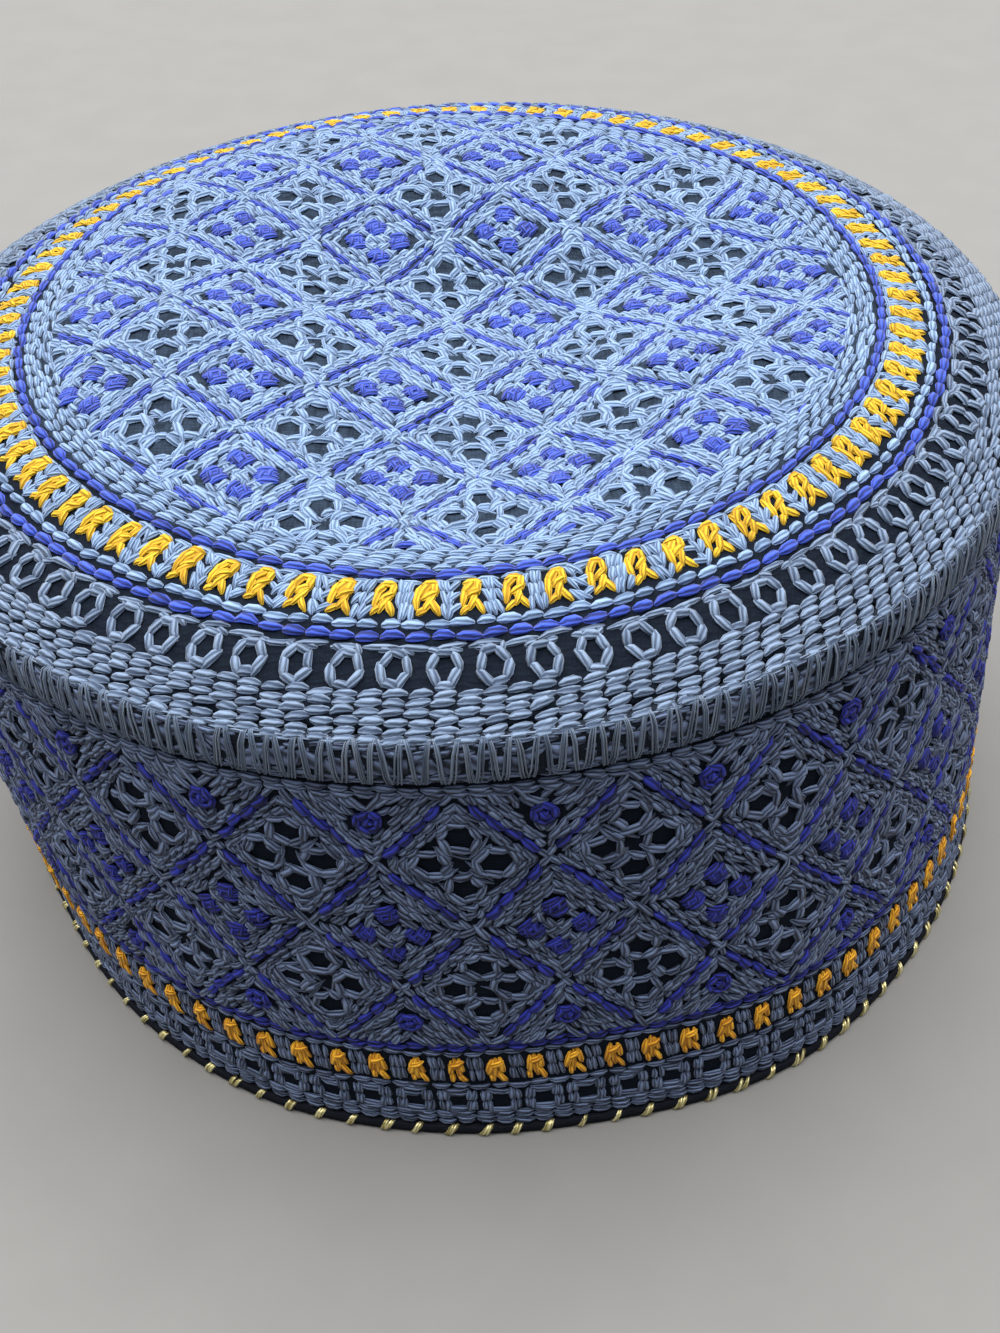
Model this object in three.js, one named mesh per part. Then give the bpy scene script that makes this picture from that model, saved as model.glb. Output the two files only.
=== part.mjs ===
// A round kufi: an embroidered crown panel, a side band, the overlocked seam that joins them
// and a piped hem. Millimetres, +Z up. The hat stands on its hem, the origin is at the bottom
// centre of the whole hat, -Y is its front and +X its right as seen from the front.
import * as THREE from "three";

// Driving sizes.
const HEM_INSIDE = 560; // way round the inside of the hem, a size 56 hat
const CLOTH = 2; // wall of the embroidered cloth, in crown and band
const CROWN_TAKE_IN = 1.1; // how much less the crown's radius is than the hem's
const CROWN_HEIGHT = 92.5; // level field of the crown above the surface
const EDGE_HEIGHT = 83.6; // edge of the crown above the surface
const FIELD_RADIUS = 60; // where the level field ends and the shoulder starts to fall
const SEAM_THICKNESS = 3; // of the padded strip that the overlocked seam makes
const SEAM_HEIGHT = 8; // of that strip, down from the crown's edge
const SEAM_PROUD = 0.6; // how far the strip stands out of the crown's edge
const PIPING = 2.2; // thickness of the hem's piping
const PIPING_PROUD = 0.4; // how far the piping stands out of the band
const CLEARANCE = 0.3; // left between neighbouring pieces

// How the soft hat stands: its crown is off to one side of its hem, and not quite level.
const CROWN_LEFT = 5.1;
const CROWN_BACK = 1.8;
const TILT_RIGHT_DEGREES = 1.03; // how much the crown rises to its right
const TILT_BACK_DEGREES = 1.37; // and to its back

// Dents and swells of the crown's field: place, half widths, turn in degrees and height.
// All lengths are shares of the crown's radius.
const CROWN_DENTS = [
  { name: "middle sag", right: 0.16, back: -0.19, wide: 0.26, deep: 0.52, turn: -27, height: -0.059 },
  { name: "left swell", right: -0.46, back: 0.1, wide: 0.26, deep: 0.64, turn: -9, height: 0.064 },
  { name: "cross hollow", right: 0.08, back: 0.1, wide: 0.54, deep: 0.19, turn: -3, height: -0.05 },
  { name: "rear rise", right: 0.18, back: 0.19, wide: 0.78, deep: 0.21, turn: -62, height: 0.035 },
];
const DENTS_HELD_TO = 0.52; // the dents are whole inside this share of the crown's radius
const DENTS_GONE_AT = 0.9; // and gone at this one, where the ring seams stiffen the cloth

// Where the soft band leaves the round: an angle from the right, how far the fold spreads to each
// side in degrees, and how far it stands out at the hem and at mid height, as shares of the
// hem's radius.
const BAND_FOLDS = [
  { name: "left tuck", angle: -152, spread: 19, hem: -0.037, middle: 0.004 },
  { name: "left bow", angle: -178, spread: 22, hem: 0, middle: 0.012 },
  { name: "front left corner", angle: -112, spread: 9, hem: 0.008, middle: 0.003 },
  { name: "front hollow", angle: -82, spread: 9, hem: -0.006, middle: -0.004 },
  { name: "front right corner", angle: -60, spread: 12, hem: 0.013, middle: 0.005 },
  { name: "right tuck", angle: -15, spread: 22, hem: -0.019, middle: -0.004 },
];

// Fineness of the faceted solids.
const STEPS_ROUND = 72;
const STEPS_ACROSS_CROWN = 12;
const STEPS_UP_BAND = 6;
const SIDES_OF_RING = 8;
const SQUARENESS = 0.6; // power that turns a ring's round section into a rounded box

// Sizes that follow from the ones above.
const HEM_RADIUS = HEM_INSIDE / (2 * Math.PI) + CLOTH;
const CROWN_RADIUS = HEM_RADIUS - CROWN_TAKE_IN;
const SEAM_RADIUS = CROWN_RADIUS + SEAM_PROUD - SEAM_THICKNESS / 2;
const CROWN_PANEL_RADIUS = SEAM_RADIUS - SEAM_THICKNESS / 2 - CLEARANCE;
const PIPING_RADIUS = HEM_RADIUS + PIPING_PROUD - PIPING / 2;
const SEAM_CENTRE = crownProfile(SEAM_RADIUS) - SEAM_HEIGHT / 2;
const BAND_TOP = SEAM_CENTRE - SEAM_HEIGHT / 2 - CLEARANCE;
const BAND_BOTTOM = PIPING + CLEARANCE;
const RISE_TO_RIGHT = Math.tan(THREE.MathUtils.degToRad(TILT_RIGHT_DEGREES));
const RISE_TO_BACK = Math.tan(THREE.MathUtils.degToRad(TILT_BACK_DEGREES));

// Height of the crown's outer skin at a distance from its axis, before tilt and dents.
function crownProfile(radius) {
  const out = Math.max(0, radius - FIELD_RADIUS) / (CROWN_RADIUS - FIELD_RADIUS);
  return CROWN_HEIGHT - (CROWN_HEIGHT - EDGE_HEIGHT) * out * out;
}

// Height that the dents add at a point of the crown.
function dentHeight(x, y) {
  const fade = THREE.MathUtils.smoothstep(
    Math.hypot(x, y) / CROWN_RADIUS, DENTS_HELD_TO, DENTS_GONE_AT);
  let height = 0;
  for (const dent of CROWN_DENTS) {
    const turn = THREE.MathUtils.degToRad(dent.turn);
    const right = x / CROWN_RADIUS - dent.right;
    const back = y / CROWN_RADIUS - dent.back;
    const along = (right * Math.cos(turn) + back * Math.sin(turn)) / dent.wide;
    const across = (back * Math.cos(turn) - right * Math.sin(turn)) / dent.deep;
    height += dent.height * CROWN_RADIUS * Math.exp(-along * along - across * across);
  }
  return height * (1 - fade);
}

// Moves a point in or out by the band's folds, at a share of the way up the band.
function fold(point, up) {
  const radius = Math.hypot(point.x, point.y);
  const angle = THREE.MathUtils.radToDeg(Math.atan2(point.y, point.x));
  let out = 0;
  for (const row of BAND_FOLDS) {
    const apart = THREE.MathUtils.euclideanModulo(angle - row.angle + 180, 360) - 180;
    const share = row.hem * (1 - up) + row.middle * Math.sin(Math.PI * up);
    out += share * HEM_RADIUS * Math.exp(-((apart / row.spread) ** 2));
  }
  point.x *= 1 + out / radius;
  point.y *= 1 + out / radius;
  return point;
}

// Leans and tilts a point that lies a share of the way from the hem up to the crown's edge.
function lean(point, up) {
  point.z += up * (RISE_TO_RIGHT * point.x + RISE_TO_BACK * point.y);
  point.x -= up * CROWN_LEFT;
  point.y += up * CROWN_BACK;
  return point;
}

// A profile of [radius, height] turned about +Z, with each vertex then moved by a function.
function turned(profile, move) {
  const points = profile.map(([radius, height]) => new THREE.Vector2(radius, height));
  const geometry = new THREE.LatheGeometry(points, STEPS_ROUND).rotateX(Math.PI / 2);
  const position = geometry.getAttribute("position");
  const point = new THREE.Vector3();
  for (let i = 0; i < position.count; i++) {
    move(point.fromBufferAttribute(position, i));
    position.setXYZ(i, point.x, point.y, point.z);
  }
  geometry.computeVertexNormals();
  return geometry;
}

// The crown panel: outer skin from the axis out to its cut edge, then the inner skin back.
function crownPanelGeometry() {
  const outer = [];
  for (let i = 0; i <= STEPS_ACROSS_CROWN; i++) {
    const radius = (CROWN_PANEL_RADIUS * i) / STEPS_ACROSS_CROWN;
    outer.push([radius, crownProfile(radius)]);
  }
  const inner = outer.map(([radius, height]) => [radius, height - CLOTH]).reverse();
  return turned([...outer, ...inner].reverse(), (point) => {
    point.z += dentHeight(point.x, point.y);
    lean(point, 1);
  });
}

// The side band: a closed wall from the piping up to the seam.
function sideBandGeometry() {
  const outer = [];
  for (let i = 0; i <= STEPS_UP_BAND; i++) {
    const height = THREE.MathUtils.lerp(BAND_BOTTOM, BAND_TOP, i / STEPS_UP_BAND);
    outer.push([THREE.MathUtils.lerp(HEM_RADIUS, CROWN_RADIUS, height / BAND_TOP), height]);
  }
  const inner = outer.map(([radius, height]) => [radius - CLOTH, height]).reverse();
  return turned([...outer, ...inner, outer[0]], (point) => {
    const up = (point.z - BAND_BOTTOM) / (BAND_TOP - BAND_BOTTOM);
    lean(fold(point, up), up);
  });
}

// The section of a soft ring: a rounded box with a flat side down.
function ringProfile(radius, centre, thickness, height) {
  const corner = Math.cos(Math.PI / SIDES_OF_RING) ** SQUARENESS;
  const soften = (value) => (Math.sign(value) * Math.abs(value) ** SQUARENESS) / corner / 2;
  const profile = [];
  for (let i = 0; i <= SIDES_OF_RING; i++) {
    const angle = ((i + 0.5) * 2 * Math.PI) / SIDES_OF_RING;
    profile.push([
      radius + thickness * soften(Math.cos(angle)),
      centre + height * soften(Math.sin(angle)),
    ]);
  }
  return profile;
}

function crownSeamGeometry() {
  const profile = ringProfile(SEAM_RADIUS, SEAM_CENTRE, SEAM_THICKNESS, SEAM_HEIGHT);
  return turned(profile, (point) => lean(point, 1));
}

function hemPipingGeometry() {
  const profile = ringProfile(PIPING_RADIUS, PIPING / 2, PIPING, PIPING);
  return turned(profile, (point) => fold(point, 0));
}

function piece(name, geometry, color, roughness) {
  const material = new THREE.MeshStandardMaterial({ color, roughness, metalness: 0 });
  const mesh = new THREE.Mesh(geometry, material);
  mesh.name = name;
  return mesh;
}

const kufi = new THREE.Group();
kufi.add(
  piece("crown_panel", crownPanelGeometry(), 0x9fb0c8, 0.75),
  piece("crown_seam", crownSeamGeometry(), 0x5b6270, 0.9),
  piece("side_band", sideBandGeometry(), 0x6d7a90, 0.8),
  piece("hem_piping", hemPipingGeometry(), 0x1a1a1e, 0.85),
);

// The whole hat is centred over the origin, and its piping stands on the surface.
const box = new THREE.Box3().setFromObject(kufi, true);
const middle = box.getCenter(new THREE.Vector3());
kufi.position.set(-middle.x, -middle.y, -box.min.z);

export default kufi;
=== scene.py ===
# An embroidered kufi on a plain pale floor. Metres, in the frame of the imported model, +Z up.
import math

import bpy
import numpy as np
from mathutils import Matrix, Vector


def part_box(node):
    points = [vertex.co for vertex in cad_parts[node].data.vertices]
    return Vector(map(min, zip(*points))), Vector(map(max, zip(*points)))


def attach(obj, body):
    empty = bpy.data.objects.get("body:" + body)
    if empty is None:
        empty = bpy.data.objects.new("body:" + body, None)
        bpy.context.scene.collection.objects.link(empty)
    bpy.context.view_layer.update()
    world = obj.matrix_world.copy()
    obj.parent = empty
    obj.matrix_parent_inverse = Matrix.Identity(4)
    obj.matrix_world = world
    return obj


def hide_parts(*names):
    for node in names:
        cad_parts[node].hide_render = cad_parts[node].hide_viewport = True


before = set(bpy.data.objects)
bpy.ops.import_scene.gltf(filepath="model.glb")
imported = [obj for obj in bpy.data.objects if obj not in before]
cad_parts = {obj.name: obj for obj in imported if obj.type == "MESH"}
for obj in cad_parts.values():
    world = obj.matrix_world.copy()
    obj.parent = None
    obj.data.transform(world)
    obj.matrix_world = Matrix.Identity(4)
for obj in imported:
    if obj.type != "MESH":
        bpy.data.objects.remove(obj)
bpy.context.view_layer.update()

MM = 0.001
draw = np.random.default_rng(56)

# Form of the hat, with the sizes of its solids.
CROWN_HEIGHT = 92.5 * MM
EDGE_HEIGHT = 83.6 * MM
FIELD_RADIUS = 60 * MM
CLOTH = 2 * MM
CROWN_TAKE_IN = 1.1 * MM
SEAM_THICKNESS = 3 * MM
SEAM_HEIGHT = 8 * MM
SEAM_PROUD = 0.6 * MM
PIPING = 2.2 * MM
PIPING_PROUD = 0.4 * MM
CLEARANCE = 0.3 * MM
CROWN_LEFT = 5.1 * MM
CROWN_BACK = 1.8 * MM
RISE_TO_RIGHT = math.tan(math.radians(1.03))
RISE_TO_BACK = math.tan(math.radians(1.37))

# Dents of the crown, as shares of its radius: right, back, wide, deep, turn in degrees, height.
CROWN_DENTS = [
    (0.16, -0.19, 0.26, 0.52, -27, -0.059),
    (-0.46, 0.10, 0.26, 0.64, -9, 0.064),
    (0.08, 0.10, 0.54, 0.19, -3, -0.050),
    (0.18, 0.19, 0.78, 0.21, -62, 0.035),
]
DENTS_HELD_TO = 0.52
DENTS_GONE_AT = 0.9

# Folds of the band: angle and spread in degrees, then how far it stands out at the hem and at
# mid height, as shares of the hem's radius.
BAND_FOLDS = [
    (-152, 19, -0.037, 0.004),
    (-178, 22, 0.0, 0.012),
    (-112, 9, 0.008, 0.003),
    (-82, 9, -0.006, -0.004),
    (-60, 12, 0.013, 0.005),
    (-15, 22, -0.019, -0.004),
]

SEAM_LOW, SEAM_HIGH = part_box("crown_seam")
CROWN_X = (SEAM_LOW[0] + SEAM_HIGH[0]) / 2
CROWN_Y = (SEAM_LOW[1] + SEAM_HIGH[1]) / 2
HEM_X = CROWN_X + CROWN_LEFT
HEM_Y = CROWN_Y - CROWN_BACK
CROWN_RADIUS = (SEAM_HIGH[0] - SEAM_LOW[0]) / 2 - SEAM_PROUD
HEM_RADIUS = CROWN_RADIUS + CROWN_TAKE_IN
SEAM_RADIUS = CROWN_RADIUS + SEAM_PROUD - SEAM_THICKNESS / 2
PANEL_RADIUS = SEAM_RADIUS - SEAM_THICKNESS / 2 - CLEARANCE
PIPING_RADIUS = HEM_RADIUS + PIPING_PROUD - PIPING / 2
BAND_BOTTOM = PIPING + CLEARANCE

# How the embroidery lies on the cloth.
STITCH_BED = 0.55 * MM  # outer skin of the ground cloth, below the skin of the whole wall
FIELD_EDGE = 62.0 * MM  # how far the lattice reaches from the crown's middle
TUCK = 1.1 * MM  # how far the band's ends reach into the seam strip and the piping
TURN = 2 * math.pi


def crown_profile(radius):
    """Height of the crown's outer skin at a distance from its axis, before tilt and dents."""
    out = np.maximum(0, radius - FIELD_RADIUS) / (CROWN_RADIUS - FIELD_RADIUS)
    return CROWN_HEIGHT - (CROWN_HEIGHT - EDGE_HEIGHT) * out * out


SEAM_CENTRE = float(crown_profile(SEAM_RADIUS)) - SEAM_HEIGHT / 2
BAND_TOP = SEAM_CENTRE - SEAM_HEIGHT / 2 - CLEARANCE


def dent_height(x, y):
    """Height that the dents add at a point of the crown."""
    share = np.hypot(x, y) / CROWN_RADIUS
    fade = np.clip((share - DENTS_HELD_TO) / (DENTS_GONE_AT - DENTS_HELD_TO), 0, 1)
    fade = fade * fade * (3 - 2 * fade)
    height = 0
    for right, back, wide, deep, turn, rise in CROWN_DENTS:
        turn = math.radians(turn)
        from_right = x / CROWN_RADIUS - right
        from_back = y / CROWN_RADIUS - back
        along = (from_right * math.cos(turn) + from_back * math.sin(turn)) / wide
        across = (from_back * math.cos(turn) - from_right * math.sin(turn)) / deep
        height = height + rise * CROWN_RADIUS * np.exp(-along * along - across * across)
    return height * (1 - fade)


def band_fold(angle, up):
    """How far the band's folds stand out at an angle in degrees and a share of its height."""
    out = 0
    for middle, spread, hem, waist in BAND_FOLDS:
        apart = (angle - middle + 180) % 360 - 180
        share = hem * (1 - up) + waist * np.sin(math.pi * up)
        out = out + share * HEM_RADIUS * np.exp(-((apart / spread) ** 2))
    return out


def crown_skin(x, y):
    """The crown's outer skin over a point (x, y) from its axis."""
    height = crown_profile(np.hypot(x, y)) + dent_height(x, y)
    height = height + RISE_TO_RIGHT * x + RISE_TO_BACK * y
    return np.stack([CROWN_X + x, CROWN_Y + y, height], -1)


def wall_point(angle, radius, height):
    """A point of the side of the hat, leant and folded as the band is."""
    up = np.clip((height - BAND_BOTTOM) / (BAND_TOP - BAND_BOTTOM), 0, 1)
    radius = radius + band_fold(np.degrees(angle), up)
    x = radius * np.cos(angle)
    y = radius * np.sin(angle)
    z = height + up * (RISE_TO_RIGHT * x + RISE_TO_BACK * y)
    return np.stack([HEM_X + x - up * CROWN_LEFT, HEM_Y + y + up * CROWN_BACK, z], -1)


def band_skin(arc, height):
    """The band's outer skin: arc is measured round the hem from the right."""
    radius = HEM_RADIUS - CROWN_TAKE_IN * np.clip(height / BAND_TOP, 0, 1)
    return wall_point(arc / HEM_RADIUS, radius, height)


def lay(skin, u, v, lift):
    """Points a height above a skin, along its own normal."""
    step = 0.05 * MM
    point = skin(u, v)
    normal = np.cross(skin(u + step, v) - point, skin(u, v + step) - point)
    normal /= np.linalg.norm(normal, axis=-1, keepdims=True)
    return point + normal * lift[..., None]


# Meshes

def mesh_object(name, points, loops, sizes, uv=None, tone=None):
    """An object from arrays: its points, the corners of all faces and how many each face has."""
    mesh = bpy.data.meshes.new(name)
    mesh.vertices.add(len(points))
    mesh.vertices.foreach_set("co", np.asarray(points, np.float32).ravel())
    mesh.loops.add(len(loops))
    mesh.loops.foreach_set("vertex_index", np.asarray(loops, np.int32))
    mesh.polygons.add(len(sizes))
    starts = np.concatenate([[0], np.cumsum(sizes)[:-1]])
    mesh.polygons.foreach_set("loop_start", starts.astype(np.int32))
    mesh.update(calc_edges=True)
    mesh.polygons.foreach_set("use_smooth", np.ones(len(sizes), bool))
    if uv is not None:
        layer = mesh.uv_layers.new(name="thread")
        layer.uv.foreach_set("vector", np.asarray(uv, np.float32).ravel())
    if tone is not None:
        layer = mesh.attributes.new("tone", "FLOAT", "POINT")
        layer.data.foreach_set("value", np.asarray(tone, np.float32))
    mesh.validate()
    piece = bpy.data.objects.new(name, mesh)
    bpy.context.scene.collection.objects.link(piece)
    return piece


def rings_object(name, rings, poles=False, tone=None):
    """A skin over a grid of points, rings by points by 3. Each ring closes on itself; the rings
    close on each other, or end in the middle points of the first and last when poles is set.
    Tone has one value for each ring."""
    count, around, _ = rings.shape
    points = rings.reshape(-1, 3)
    loops = []
    sizes = []
    corners = []
    spans = count - 1 if poles else count
    ring = np.arange(around)
    after = (ring + 1) % around
    for i in range(spans):
        j = (i + 1) % count
        quad = np.stack([i * around + ring, i * around + after,
                         j * around + after, j * around + ring], -1)
        loops.append(quad.ravel())
        sizes.append(np.full(around, 4))
        u = np.stack([ring, ring + 1, ring + 1, ring], -1) / around
        v = np.stack([ring * 0 + i, ring * 0 + i, ring * 0 + i + 1, ring * 0 + i + 1], -1) / spans
        corners.append(np.stack([u, v], -1).reshape(-1, 2))
    if poles:
        ends = [(0, points[:around].mean(0), False),
                ((count - 1) * around, points[-around:].mean(0), True)]
        for start, middle, last in ends:
            tip = len(points)
            points = np.vstack([points, middle])
            a, b = (ring, after) if last else (after, ring)
            loops.append(np.stack([start + a, start + b, ring * 0 + tip], -1).ravel())
            sizes.append(np.full(around, 3))
            u = np.stack([a, b, a], -1) / around
            corners.append(np.stack([u, u * 0 + (1.0 if last else 0.0)], -1).reshape(-1, 2))
    if tone is not None:
        tone = np.append(np.repeat(tone, around), [0.0] * (len(points) - count * around))
    return mesh_object(name, points, np.concatenate(loops), np.concatenate(sizes),
                       np.concatenate(corners), tone)


# One stitch: the upper side of a spindle of thread, sunk into the cloth at its edges.
STITCH_FACES = 3
STITCH_TURNS = [math.radians(-20 + 220 * k / STITCH_FACES) for k in range(STITCH_FACES + 1)]
STITCH_RINGS = [-0.9, -0.4, 0.4, 0.9]
PLUMP = 0.72  # height of a stitch as a share of its width, where none is given
ARCH = 0.45  # how far its middle rises over its ends, as a share of its height
SUNK = 0.12  # how deep its ends lie in the cloth, as a share of its height

# How uneven the stitches are.
UNEVEN_PLACE = 0.06 * MM
UNEVEN_TURN = 0.06
UNEVEN_LENGTH = 0.06
UNEVEN_WIDTH = 0.07
UNEVEN_LIFT = 0.04 * MM
UNEVEN_BOW = 0.05


def stitch_template():
    """Points (along, across, up) from -1 to 1, face corners, face sizes and corner uvs."""
    around = len(STITCH_TURNS)
    points = [(-1, 0, 0)]
    for along in STITCH_RINGS:
        size = (1 - abs(along) ** 3) ** 0.55
        points += [(along, size * math.cos(turn), size * math.sin(turn)) for turn in STITCH_TURNS]
    points.append((1, 0, 0))
    loops, sizes, uv = [], [], []

    def corner(ring, k):
        loops.append(1 + ring * around + k)
        uv.append((k / STITCH_FACES, (STITCH_RINGS[ring] + 1) / 2))

    def tip(index, k, along):
        loops.append(index)
        uv.append(((k + 0.5) / STITCH_FACES, along))

    last = len(STITCH_RINGS) - 1
    for k in range(STITCH_FACES):
        tip(0, k, 0)
        corner(0, k + 1)
        corner(0, k)
        sizes.append(3)
        for ring in range(last):
            corner(ring, k)
            corner(ring, k + 1)
            corner(ring + 1, k + 1)
            corner(ring + 1, k)
            sizes.append(4)
        corner(last, k)
        corner(last, k + 1)
        tip(len(points) - 1, k, 1)
        sizes.append(3)
    return np.array(points, float), np.array(loops), np.array(sizes), np.array(uv)


TEMPLATE = stitch_template()


class Stitches:
    """Stitches on one skin, kept where keep(u, v) is true. Each is put down in a local frame, a
    to the right and b upwards or inwards, which at() places on the skin. The larger the mess,
    the more uneven they are."""

    def __init__(self, skin, keep=None, mess=1.0):
        self.skin = skin
        self.keep = keep
        self.mess = mess
        self.rows = []
        self.at(0, 0, 0)

    def at(self, u, v, turn):
        """Moves the local frame to a place on the skin, turned by an angle."""
        self.u, self.v, self.turn = u, v, turn

    def stitch(self, a, b, direction, length, width, height=None, lift=0.0):
        """One stitch with its middle at (a, b), a lift above its bed."""
        cos, sin = math.cos(self.turn), math.sin(self.turn)
        u = self.u + a * cos - b * sin
        v = self.v + a * sin + b * cos
        if self.keep is None or self.keep(u, v):
            height = PLUMP * width if height is None else height
            self.rows.append((u, v, self.turn + direction, length, width, height, lift))

    def line(self, start, end, pitch, width, slant=0.0, clear_of=(), overlap=1.08, **more):
        """Stitches end to end along a straight line, left out over the discs in clear_of."""
        span = math.dist(start, end)
        count = max(1, round(span / pitch))
        direction = math.atan2(end[1] - start[1], end[0] - start[0])
        for k in range(count):
            share = (k + 0.5) / count
            a = start[0] + (end[0] - start[0]) * share
            b = start[1] + (end[1] - start[1]) * share
            if all(math.hypot(a - x, b - y) > r for x, y, r in clear_of):
                self.stitch(a, b, direction + slant, span / count * overlap, width, **more)

    def ring(self, a, b, radius, count, width, start=0.0, **more):
        """Stitches round a small circle, or an oval where radius is a pair."""
        wide, high = radius if isinstance(radius, tuple) else (radius, radius)
        for k in range(count):
            angle = start + TURN * k / count
            ahead = (-wide * math.sin(angle), high * math.cos(angle))
            length = 2 * math.hypot(*ahead) * math.tan(math.pi / count) * 1.42
            self.stitch(a + wide * math.cos(angle), b + high * math.sin(angle),
                        math.atan2(ahead[1], ahead[0]), length, width, **more)

    def build(self, name, look, node):
        """One mesh of all the stitches, a little uneven as sewn ones are."""
        points, loops, sizes, uv = TEMPLATE
        rows = np.array(self.rows)
        count = len(rows)
        u, v, turn, length, width, height, lift = rows.T[:, :, None]
        wobble = draw.normal(0, 1, (6, count, 1))
        u = u + UNEVEN_PLACE * self.mess * wobble[0]
        v = v + UNEVEN_PLACE * self.mess * wobble[1]
        turn = turn + UNEVEN_TURN * self.mess * wobble[2]
        length = length * (1 + UNEVEN_LENGTH * self.mess * wobble[3])
        width = width * (1 + UNEVEN_WIDTH * wobble[4])
        lift = lift + UNEVEN_LIFT * self.mess * wobble[5]
        along = points[:, 0] * length / 2
        bow = UNEVEN_BOW * length * (1 - points[:, 0] ** 2) * draw.normal(0, 1, (count, 1))
        across = points[:, 1] * width / 2 + bow
        cos, sin = np.cos(turn), np.sin(turn)
        place_u = u + along * cos - across * sin
        place_v = v + along * sin + across * cos
        arch = ARCH * (1 - points[:, 0] ** 2) - SUNK
        rise = lift - STITCH_BED + height * (points[:, 2] / 2 + arch)
        placed = lay(self.skin, place_u.ravel(), place_v.ravel(), rise.ravel())
        tone = draw.random(count)
        shift = np.arange(count)[:, None]
        piece = mesh_object(
            name, placed, (loops + shift * len(points)).ravel(), np.tile(sizes, count),
            np.tile(uv, (count, 1)) + np.repeat(draw.random((count, 2)), len(loops), 0),
            np.repeat(tone, len(points)))
        dress(piece, look, node)


def dress(piece, look, node):
    """Gives a piece its material and its body, and hides the solid that it stands for."""
    piece.data.materials.append(look)
    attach(piece, "root")
    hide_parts(node)


def strands_object(name, paths, normals, radius, sides):
    """Threads along paths, each a row of points with the skin's normals there. The radius has a
    value for each step."""
    count, steps, _ = paths.shape
    ahead = np.gradient(paths, axis=1)
    ahead /= np.linalg.norm(ahead, axis=-1, keepdims=True)
    side = np.cross(ahead, normals)
    side /= np.linalg.norm(side, axis=-1, keepdims=True)
    up = np.cross(side, ahead)
    angle = TURN * np.arange(sides) / sides
    radius = np.broadcast_to(radius, (count, steps))
    ring = (np.cos(angle)[:, None] * side[:, :, None] + np.sin(angle)[:, None] * up[:, :, None])
    skin = paths[:, :, None] + ring * radius[:, :, None, None]
    points = np.concatenate([skin.reshape(count, -1, 3), paths[:, :1], paths[:, -1:]], 1)
    loops, sizes, uv = [], [], []
    for k in range(sides):
        after = (k + 1) % sides
        for i in range(steps - 1):
            loops += [i * sides + k, (i + 1) * sides + k,
                      (i + 1) * sides + after, i * sides + after]
            uv += [(k / sides, i / steps), (k / sides, (i + 1) / steps),
                   ((k + 1) / sides, (i + 1) / steps), ((k + 1) / sides, i / steps)]
            sizes.append(4)
        low, high = steps * sides, steps * sides + 1
        loops += [low, k, after]
        uv += [(k / sides, 0)] * 3
        loops += [high, (steps - 1) * sides + after, (steps - 1) * sides + k]
        uv += [(k / sides, 1)] * 3
        sizes += [3, 3]
    each = points.shape[1]
    loops = np.array(loops) + np.arange(count)[:, None] * each
    uv = np.tile(np.array(uv), (count, 1)) + np.repeat(draw.random((count, 2)), len(uv), 0)
    tone = np.repeat(draw.random(count), each)
    return mesh_object(name, points.reshape(-1, 3), loops.ravel(), np.tile(sizes, count), uv, tone)


# Materials

def nodes_of(name):
    """A new node material and a function that adds a node and feeds its inputs."""
    look = bpy.data.materials.new(name)
    look.use_nodes = True
    tree = look.node_tree
    shader = tree.nodes["Principled BSDF"]

    def add(kind, links=(), **values):
        node = tree.nodes.new(kind)
        for key, value in values.items():
            setattr(node, key, value)
        for socket, value in dict(links).items():
            feed(node.inputs[socket], value)
        return node

    def feed(socket, value):
        if isinstance(value, bpy.types.NodeSocket):
            tree.links.new(value, socket)
        else:
            socket.default_value = value

    return look, shader, add, feed


def thread_look(name, dark, light, roughness=0.75, sheen=0.2, metallic=0.0):
    """Thread of a few strands side by side and fine fibres, with painted shade in the grooves
    between the strands and where the bump is low; its tone changes from stitch to stitch."""
    look, shader, add, feed = nodes_of(name)
    tone = add("ShaderNodeAttribute", attribute_name="tone").outputs["Fac"]
    uv = add("ShaderNodeUVMap", uv_map="thread").outputs["UV"]
    streaks = add("ShaderNodeMapping", {"Vector": uv, "Rotation": (0, 0, 0.12),
                                        "Scale": (9, 1.7, 1)})
    fibres = add("ShaderNodeTexNoise", {"Vector": streaks.outputs["Vector"], "Scale": 1.0,
                                        "Detail": 3.0, "Roughness": 0.7}).outputs["Fac"]
    twist = add("ShaderNodeMapping", {"Vector": uv, "Rotation": (0, 0, 0.25),
                                      "Scale": (1, 0.9, 1)})
    strands = add("ShaderNodeTexWave", {"Vector": twist.outputs["Vector"], "Scale": 0.85,
                                        "Distortion": 1.6, "Detail": 1.5}).outputs["Fac"]
    height = add("ShaderNodeMix", {"Factor": 0.5, "A": strands, "B": fibres}).outputs["Result"]
    # Painted shade: the colour darkens where the bump's height is low; the tone adds a random
    # change per stitch.
    shade = add("ShaderNodeMath", {0: tone, 1: 0.45}, operation="MULTIPLY").outputs[0]
    shade = add("ShaderNodeMath", {0: shade, 1: height}, operation="ADD").outputs[0]
    shade = add("ShaderNodeMapRange", {"Value": shade, "From Min": 0.30, "From Max": 0.95})
    # Painted shade in the grooves between the strands.
    groove_painted_shade = add("ShaderNodeMapRange", {"Value": strands, "From Max": 0.4, "To Min": 0.25})
    shade = add("ShaderNodeMath", {0: shade.outputs["Result"], 1: groove_painted_shade.outputs["Result"]},
                operation="MULTIPLY").outputs[0]
    colour = add("ShaderNodeMix", {"Factor": shade, "A": (*dark, 1), "B": (*light, 1)},
                 data_type="RGBA")
    bump = add("ShaderNodeBump", {"Height": height, "Strength": 0.9, "Distance": 0.35 * MM})
    feed(shader.inputs["Base Color"], colour.outputs["Result"])
    feed(shader.inputs["Normal"], bump.outputs["Normal"])
    feed(shader.inputs["Roughness"], roughness)
    feed(shader.inputs["Metallic"], metallic)
    feed(shader.inputs["Sheen Weight"], sheen)
    feed(shader.inputs["Specular IOR Level"], 0.3)
    return look


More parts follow.
